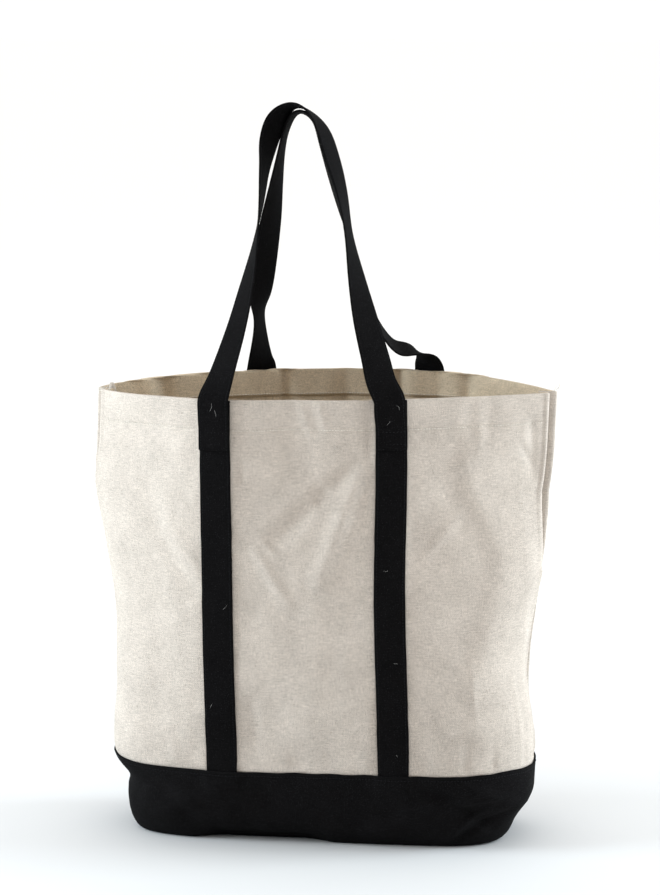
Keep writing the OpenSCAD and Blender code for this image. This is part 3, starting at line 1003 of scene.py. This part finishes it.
def hairs(name, starts, body, seed, length=(4, 11), radius=0.13):
    """Fine hairs at these places: starts holds (point, lift) pairs."""
    random = np.random.default_rng(seed)
    points, faces = [], []
    for start, lift in starts:
        lift = unit(np.asarray(lift, float))
        level = unit(np.cross(lift, [0.1, 0.2, 1.0]))
        rise = np.cross(level, lift)
        angle = random.uniform(0, 2 * math.pi)
        way = level * math.cos(angle) + rise * math.sin(angle)
        rings = hair(np.asarray(start, float), way, lift, random.uniform(*length),
                     random.uniform(-0.35, 0.35), radius)
        faces += [[len(points) + k for k in face] for face in bar_faces(*rings.shape[:2])]
        points.extend(rings.reshape(-1, 3))
    obj = mesh_object(name, points, faces)
    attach(obj, body)
    return obj


def on_panel(half, x, z, depth=0.2):
    """A point of a panel, raised by depth, and the direction away from the cloth there."""
    s = x / float(half_w(z))
    return half.place(half.skin(s, z, depth)), half.face(outward(s, z))


def on_band(half, centre, across, z):
    return on_panel(half, strap_x(centre, z) + across, z, BAND_FOOT + STRAP_T + 0.25)


# --- lights, floor and camera ---

TENT_FRONT = (0.06, 0.06, 0.06)
TENT_BACK = (1.05, 1.05, 1.05)
TENT_TOP = (1.26, 1.24, 1.21)
# Floor colour near the bag and far off, and the distances in metres over which it changes: painted
# light, darker where the lamps are bright and brighter where they light the floor less
FLOOR_NEAR, FLOOR_FAR, FLOOR_REACH = 0.66, 0.97, (0.45, 1.5)
LENS_MM = 110.7
CAMERA_PLACE, CAMERA_AIM = (0.360, -2.725, 0.849), (0.005, 0, 0.396)
THREAD_TWIST, THREAD_RELIEF = 0.8, 0.08


def plain_material(name, colour, roughness=0.9, specular=0.2):
    material = bpy.data.materials.new(name)
    material.use_nodes = True
    shader = material.node_tree.nodes["Principled BSDF"]
    shader.inputs["Base Color"].default_value = (*colour, 1)
    shader.inputs["Roughness"].default_value = roughness
    shader.inputs["Specular IOR Level"].default_value = specular
    return material


class Nodes:
    """Short ways to add nodes to a material or to the world."""

    def __init__(self, owner):
        self.tree = owner.node_tree
        self.shader = self.tree.nodes.get("Principled BSDF")

    def add(self, kind, inputs=(), **settings):
        """Adds a node with these settings. inputs holds (socket, value or output) pairs."""
        node = self.tree.nodes.new(kind)
        for key, value in settings.items():
            setattr(node, key, value)
        for socket, source in inputs:
            self.link(source, node.inputs[socket])
        return node

    def link(self, source, socket):
        if isinstance(source, (int, float, tuple)):
            socket.default_value = source
        else:
            self.tree.links.new(source, socket)

    def math(self, operation, *values):
        return self.add("ShaderNodeMath", enumerate(values), operation=operation).outputs[0]

    def cloth(self, stretch):
        """Place on the flat cloth in millimetres, times stretch along and up the cloth."""
        place = self.add("ShaderNodeUVMap", uv_map="cloth").outputs[0]
        pair = enumerate((place, (stretch[0] / MM, stretch[1] / MM, 1)))
        return self.add("ShaderNodeVectorMath", pair, operation="MULTIPLY").outputs[0]

    def noise(self, stretch, detail, roughness):
        inputs = (("Vector", self.cloth(stretch)), ("Scale", 1.0), ("Detail", detail),
                  ("Roughness", roughness))
        return self.add("ShaderNodeTexNoise", inputs, noise_dimensions="2D").outputs["Fac"]

    def ramp(self, value, low, high, to_low=0.0, to_high=1.0):
        inputs = enumerate((value, low, high, to_low, to_high))
        return self.add("ShaderNodeMapRange", inputs, interpolation_type="SMOOTHSTEP").outputs[0]

    def times(self, colour, share):
        inputs = ((0, colour), ("Scale", share))
        return self.add("ShaderNodeVectorMath", inputs, operation="SCALE").outputs[0]

    def mix(self, share, a, b):
        """Colour a where share is 0 and colour b where it is 1."""
        a, b = ((*c, 1) if isinstance(c, tuple) else c for c in (a, b))
        return self.add("ShaderNodeMix", ((0, share), (6, a), (7, b)), data_type="RGBA").outputs[2]

    def finish(self, colour, height, height_mm):
        """Links the shader's colour and its bump."""
        raised = self.add("ShaderNodeBump", (("Height", height), ("Distance", height_mm * MM)))
        self.link(colour, self.shader.inputs["Base Color"])
        self.link(raised.outputs[0], self.shader.inputs["Normal"])

    def weave(self, warp, weft):
        """Height of a plain weave with these thread pitches in millimetres."""
        place = self.cloth((math.pi / warp, math.pi / weft))
        split = self.add("ShaderNodeSeparateXYZ", ((0, place),))
        waves = [self.math("SINE", split.outputs[axis]) for axis in "XY"]
        return self.math("MULTIPLY_ADD", self.math("MULTIPLY", *waves), 0.5, 0.5)


def woven_material(name, colour, pitch, variation, fleck_colour, fleck_share, bump_size, gloss):
    """Plain woven cotton with slubs, cloudy colour, small flecks and a raised weave."""
    material = plain_material(name, colour, 0.95, gloss)
    nodes = Nodes(material)
    weave = nodes.weave(*pitch)
    weft_slub = nodes.noise((0.10, 0.95), 3.0, 0.6)
    warp_slub = nodes.noise((0.85, 0.12), 3.0, 0.6)
    cloud = nodes.noise((0.035, 0.030), 3.0, 0.55)
    grain = nodes.noise((0.75, 0.75), 2.0, 0.7)
    light = 1.0
    for source, share in ((weft_slub, 1.8), (warp_slub, 1.4), (cloud, 0.9), (grain, 2.2),
                          (weave, 0.7)):
        light = nodes.math("MULTIPLY_ADD", nodes.math("SUBTRACT", source, 0.5), variation * share,
                           light)
    specks = nodes.noise((0.9, 1.5), 1.0, 0.4)
    fleck = nodes.ramp(specks, 1 - fleck_share, 1 - fleck_share * 0.82, 0.0, 0.75)
    height = weave
    for source, share in ((weft_slub, 1.3), (warp_slub, 0.9), (grain, 1.2)):
        height = nodes.math("MULTIPLY_ADD", source, share, height)
    nodes.finish(nodes.mix(fleck, nodes.times(colour, light), fleck_colour), height, bump_size)
    return material


def thread_material(name, colour, gloss):
    """Twisted cotton thread: fine noise in its colour and height."""
    material = plain_material(name, colour, 0.75, gloss)
    nodes = Nodes(material)
    place = nodes.add("ShaderNodeTexCoord").outputs["Object"]
    inputs = (("Vector", place), ("Scale", 1 / (THREAD_TWIST * MM)))
    twist = nodes.add("ShaderNodeTexNoise", inputs).outputs["Fac"]
    shade = nodes.ramp(twist, 0.3, 0.7, 0.72, 1.22)
    nodes.finish(nodes.times(colour, shade), twist, THREAD_RELIEF)
    return material


def floor_with_painted_light():
    """Pale floor whose colour is painted light: darker round the bag, where the lamps light it most,
    and brighter far off, where they light it less.
    """
    material = plain_material("floor_white_painted_light", (FLOOR_FAR,) * 3)
    nodes = Nodes(material)
    place = nodes.add("ShaderNodeNewGeometry").outputs["Position"]
    distance = nodes.add("ShaderNodeVectorMath", ((0, place),), operation="LENGTH")
    shade = nodes.ramp(distance.outputs["Value"], *FLOOR_REACH, FLOOR_NEAR, FLOOR_FAR)
    nodes.link(shade, nodes.shader.inputs["Base Color"])
    return material


def tent():
    """A white light tent with a bright top and walls, darker at the front above its walls."""
    world = bpy.context.scene.world or bpy.data.worlds.new("tent")
    bpy.context.scene.world = world
    world.use_nodes = True
    nodes = Nodes(world)
    place = nodes.add("ShaderNodeTexCoord").outputs["Generated"]
    split = nodes.add("ShaderNodeSeparateXYZ", ((0, place),))
    colour = TENT_FRONT
    for axis, low, high, target in (("Y", -0.5, 0.4, TENT_BACK), ("Z", 0.22, 0.13, TENT_BACK),
                                    ("Z", 0.30, 0.80, TENT_TOP)):
        colour = nodes.mix(nodes.ramp(split.outputs[axis], low, high), colour, target)
    nodes.link(colour, nodes.tree.nodes["Background"].inputs["Color"])


def placed(name, data, place, aim):
    """Adds a light or a camera that looks from place at aim."""
    obj = bpy.data.objects.new(name, data)
    obj.location = place
    obj.rotation_euler = (Vector(aim) - Vector(place)).to_track_quat("-Z", "Y").to_euler()
    bpy.context.scene.collection.objects.link(obj)
    return obj


def softbox(name, place, aim, size, power, colour):
    data = bpy.data.lights.new(name, "AREA")
    data.shape = "RECTANGLE"
    data.size, data.size_y = size
    data.energy = power
    data.color = colour
    placed(name, data, place, aim)


def studio():
    bpy.ops.mesh.primitive_plane_add(size=60, location=(0, 20, 0))
    floor = bpy.context.object
    floor.name = "floor"
    floor.data.materials.append(floor_with_painted_light())
    tent()
    softbox("key_left", (-2.25, -0.62, 1.0), (0, -0.05, 0.25), (0.9, 1.5), 61, (0.78, 0.91, 1))
    softbox("rim_right", (2.3, 0.35, 0.9), (0, 0, 0.25), (0.8, 1.6), 60, (0.80, 0.92, 1))
    bpy.context.scene.view_settings.view_transform = "Standard"


def camera():
    data = bpy.data.cameras.new("camera")
    data.lens = LENS_MM
    bpy.context.scene.camera = placed("camera", data, CAMERA_PLACE, CAMERA_AIM)


# --- assembly ---

camera()
studio()

natural = woven_material("natural_canvas", (0.545, 0.482, 0.422), (0.95, 1.15), 0.32,
                         (0.20, 0.15, 0.10), 0.33, 0.07, 0.12)
# The inside canvas is the outside canvas with its colour painted brighter and yellower: painted light
# for the warm light inside the bag
inside_canvas_painted_light = woven_material("canvas_inside_painted_light", (0.62, 0.51, 0.375), (0.95, 1.15), 0.30,
                        (0.20, 0.15, 0.10), 0.33, 0.07, 0.12)
black = woven_material("black_canvas", (0.0047, 0.0044, 0.0046), (0.9, 1.0), 0.6,
                       (0.04, 0.04, 0.042), 0.29, 0.08, 0.06)
webbing = woven_material("black_strap", (0.0042, 0.0039, 0.0041), (1.1, 0.8), 0.55,
                         (0.05, 0.05, 0.052), 0.25, 0.08, 0.05)
tape = woven_material("binding_tape", (0.70, 0.66, 0.58), (0.5, 0.5), 0.10,
                      (0.45, 0.40, 0.32), 0.24, 0.04, 0.12)
pale_thread = thread_material("natural_thread", (0.74, 0.70, 0.63), 0.2)
dark_thread = thread_material("black_thread", (0.006, 0.006, 0.007), 0.15)
lint = thread_material("lint", (0.62, 0.60, 0.57), 0.2)


def dress(obj, material, body=None):
    """Gives a finished piece its material, and its slot and body where it still needs them."""
    obj.data.materials.append(material)
    if body:
        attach(obj, body)
    return obj


dress(base(), black)
for half in (FRONT, BACK):
    # The second slot is the inside canvas, whose colour is painted light: brighter and yellower than
    # the outside
    dress(panel(half), natural).data.materials.append(inside_canvas_painted_light)
    dress(hem_stitches(half), pale_thread, "bag")
    dress(band_stitches(half), dark_thread, "bag")
    dress(tack_stitches(half), dark_thread, "bag")
for half, centre, place in ((FRONT, STRAP_LEFT_X, "front_left"), (FRONT, STRAP_RIGHT_X, "front_right"),
                            (BACK, STRAP_RIGHT_X, "back_left"), (BACK, STRAP_LEFT_X, "back_right")):
    dress(band(half, centre, place), webbing)
for side, name in ((-1, "left_side"), (1, "right_side")):
    dress(binding(side, name), tape)
    dress(side_stitches(side, name), pale_thread, "bag")
dress(tape_strip("left_tape_end", -1, np.linspace(RIM_H - 12, RIM_H + 5, 18), 0.6), natural)
dress(base_stitches(), dark_thread, "bag")
dress(corner_stitches(), dark_thread, "bag")

front_route = (leg(FRONT, STRAP_LEFT_X, 0, -0.8) + list(FRONT_FREE)
               + leg(FRONT, STRAP_RIGHT_X, -180, -2.2)[::-1])
back_route = (leg(BACK, STRAP_RIGHT_X, 0, 0.5) + list(BACK_FREE)
              + leg(BACK, STRAP_LEFT_X, 180, -0.6)[::-1])
for half, route, body in ((FRONT, front_route, "front_handle"), (BACK, back_route, "back_handle")):
    dress(handle(half, route, body), webbing)
    dress(handle_stitches(half, route, body), dark_thread)

lint_spots = [on_band(FRONT, STRAP_LEFT_X, a, z) for a, z in ((6, 246), (-7, 150))]
lint_spots += [on_band(FRONT, STRAP_RIGHT_X, a, z) for a, z in ((-6, 288), (3, 196), (5, 100))]
lint_spots += [on_band(BACK, c, a, z) for c, a, z in ((75, 3, 330), (-96, -6, 210), (75, 8, 140))]
dress(hairs("strap_lint", lint_spots, "bag", 8, (3, 7), 0.055), lint)
handle_spots = [on_panel(FRONT, x, z, HANDLE_MID + STRAP_T)
                for x, z in ((-99, 446), (-93, 441), (79, 452), (73, 436))]
dress(hairs("handle_lint", handle_spots, "front_handle", 12, (5, 9), 0.06), lint)
corner_spots = [((x, y, RIM_H + z), (-0.3, -0.8, 0.6))
                for x, y, z in ((-231, -3, -3), (-229, -5, -6), (-227, -4, -3), (-224, -6, -4),
                                (-221, -5, -3), (-218, -8, -4), (-230, -1, -4), (-226, 0, -3),
                                (-223, 1, -2), (-228, -6, -9), (232, 1, 1), (230, 3, 0))]
dress(hairs("seam_end_threads", corner_spots, "bag", 15, (5, 10), 0.5),
      pale_thread)
thread_spots = [on_panel(FRONT, x, z)
                for x, z in ((62, 412), (60, 132), (212, 322), (221, 306), (218, 316), (-40, 196))]
thread_spots += [on_panel(BACK, x, z) for x, z in ((120, 330), (-40, 220))]
dress(hairs("loose_threads", thread_spots, "bag", 3, (5, 12), 0.16), pale_thread)

bpy.context.view_layer.update()
